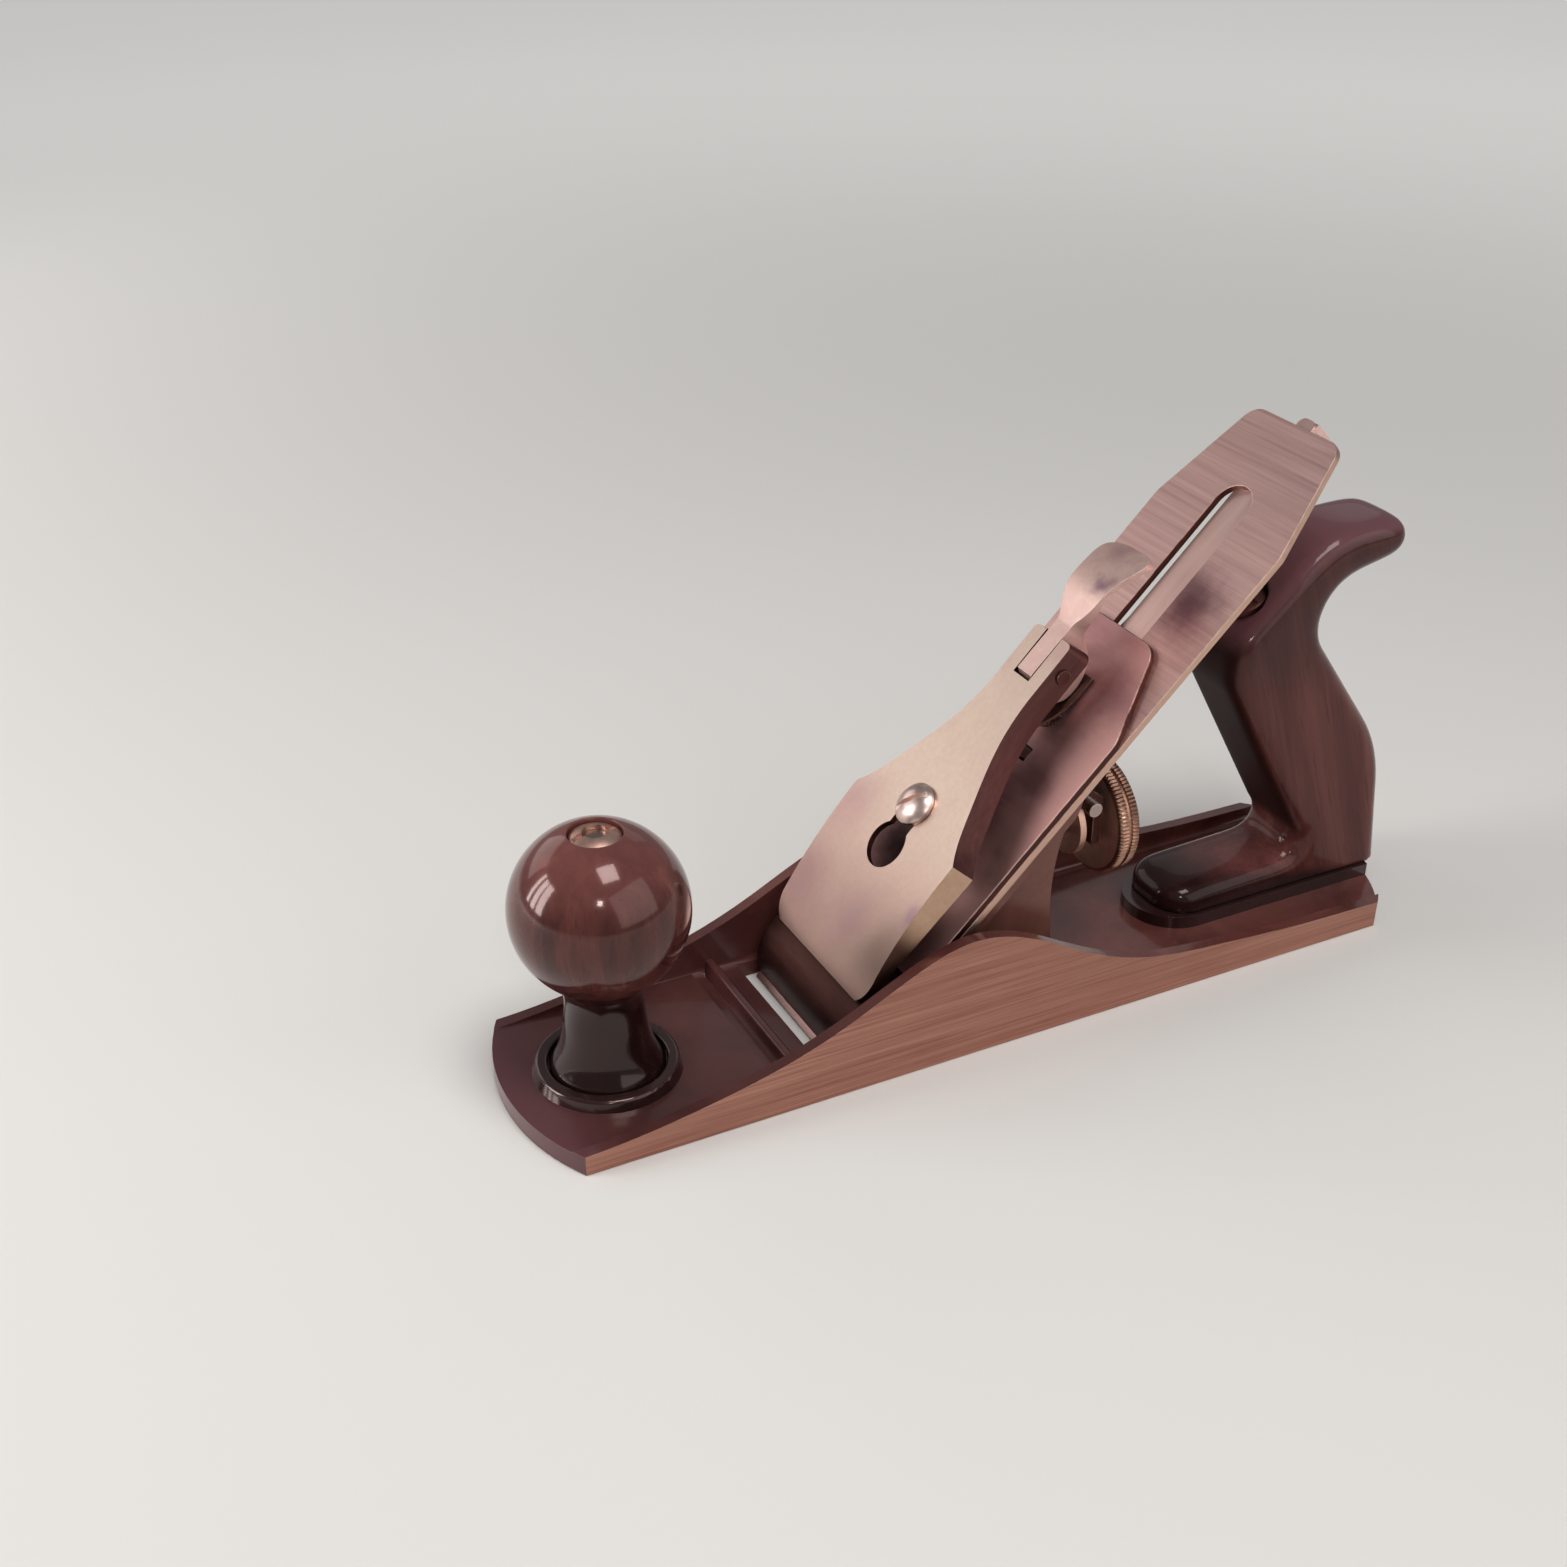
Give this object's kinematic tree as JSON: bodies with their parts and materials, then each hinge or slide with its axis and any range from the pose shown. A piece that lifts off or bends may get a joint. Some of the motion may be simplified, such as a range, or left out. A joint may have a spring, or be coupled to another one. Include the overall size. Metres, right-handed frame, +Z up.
{
  "type": "bench hand plane",
  "caption": "Metal bench plane with a ball front knob, rear handle, sloped iron with cap iron, cam lever cap, depth wheel and lateral lever.",
  "frame": {"origin": "middle of the sole's flat face, halfway along the straight sides", "axes": "+X towards the heel, -Y the left side, +Z up from the sole"},
  "size_m": [0.2615, 0.061, 0.1405],
  "materials": {
    "casting": "dark enamel inside, sides ground bare",
    "knob_wood": "dark stain under gloss varnish",
    "stud_steel": "plain",
    "nut_brass": "bright",
    "tote_wood": "dark stain under gloss varnish",
    "tote_stud_steel": "plain",
    "tote_nut_brass": "bright",
    "frog_enamel": "dark gloss enamel",
    "frog_screw_steel": "plain",
    "washer_steel": "plain",
    "iron_steel": "ground across",
    "cap_iron_steel": "satin",
    "cap_screw_steel": "plain",
    "lever_cap_nickel": "satin nickel",
    "lever_screw_steel": "bright",
    "spring_steel": "blued",
    "rivet_steel": "plain",
    "cam_nickel": "satin nickel",
    "cam_pin_steel": "plain",
    "wheel_brass": "turned and knurled",
    "depth_stud_steel": "threaded",
    "yoke_steel": "pressed",
    "yoke_pin_steel": "plain",
    "lateral_steel": "pressed",
    "lateral_pivot_steel": "plain",
    "roller_steel": "turned",
    "roller_rivet_steel": "plain"
  },
  "bodies": {
    "plane": {"body_casting": "casting", "frog": "frog_enamel", "frog_screws": "frog_screw_steel", "frog_washers": "washer_steel", "knob": "knob_wood", "knob_stud": "stud_steel", "knob_nut": "nut_brass", "tote": "tote_wood", "tote_stud": "tote_stud_steel", "tote_nut": "tote_nut_brass", "lever_cap_screw": "lever_screw_steel", "depth_stud": "depth_stud_steel", "yoke_pin": "yoke_pin_steel", "lateral_pivot": "lateral_pivot_steel"},
    "wheel": {"depth_wheel": "wheel_brass"},
    "yoke": {"yoke": "yoke_steel"},
    "blade": {"iron": "iron_steel", "cap_iron": "cap_iron_steel", "cap_iron_screw": "cap_screw_steel"},
    "lateral": {"lateral_lever": "lateral_steel", "lateral_roller": "roller_steel", "roller_rivet": "roller_rivet_steel"},
    "clamp": {"lever_cap": "lever_cap_nickel", "cap_spring": "spring_steel", "spring_rivet": "rivet_steel", "cam_pin": "cam_pin_steel"},
    "cam": {"cam_lever": "cam_nickel"}
  },
  "joints": [
    {"name": "wheel_spin", "type": "hinge", "parent": "plane", "child": "wheel", "pos_m": [0.0427, 0, 0.0412], "axis": [1, 0, 0], "range_deg": [-360, 360]},
    {"name": "yoke_tilt", "type": "hinge", "parent": "plane", "child": "yoke", "pos_m": [0.02845, 0, 0.05515], "axis": [0, 1, 0], "range_deg": [-3.6, 3.6]},
    {"name": "blade_feed", "type": "slide", "parent": "plane", "child": "blade", "axis": [0.7071, 0, 0.7071], "range_m": [-0.001, 0.001]},
    {"name": "lateral_swing", "type": "hinge", "parent": "plane", "child": "lateral", "pos_m": [0.04521, 0, 0.08874], "axis": [-0.7071, 0, 0.7071], "range_deg": [-4.5, 4.5]},
    {"name": "cap_release", "type": "slide", "parent": "plane", "child": "clamp", "axis": [0.7071, 0, 0.7071], "range_m": [0, 0.0124]},
    {"name": "cam_throw", "type": "hinge", "parent": "clamp", "child": "cam", "pos_m": [0.02251, 0, 0.08938], "axis": [0, -1, 0], "range_deg": [0, 95]}
  ],
  "couplings": [
    {"joint": "wheel_spin", "follows": "blade_feed", "rad_per_m": 6283.2},
    {"joint": "yoke_tilt", "follows": "blade_feed", "rad_per_m": 62.83}
  ]
}
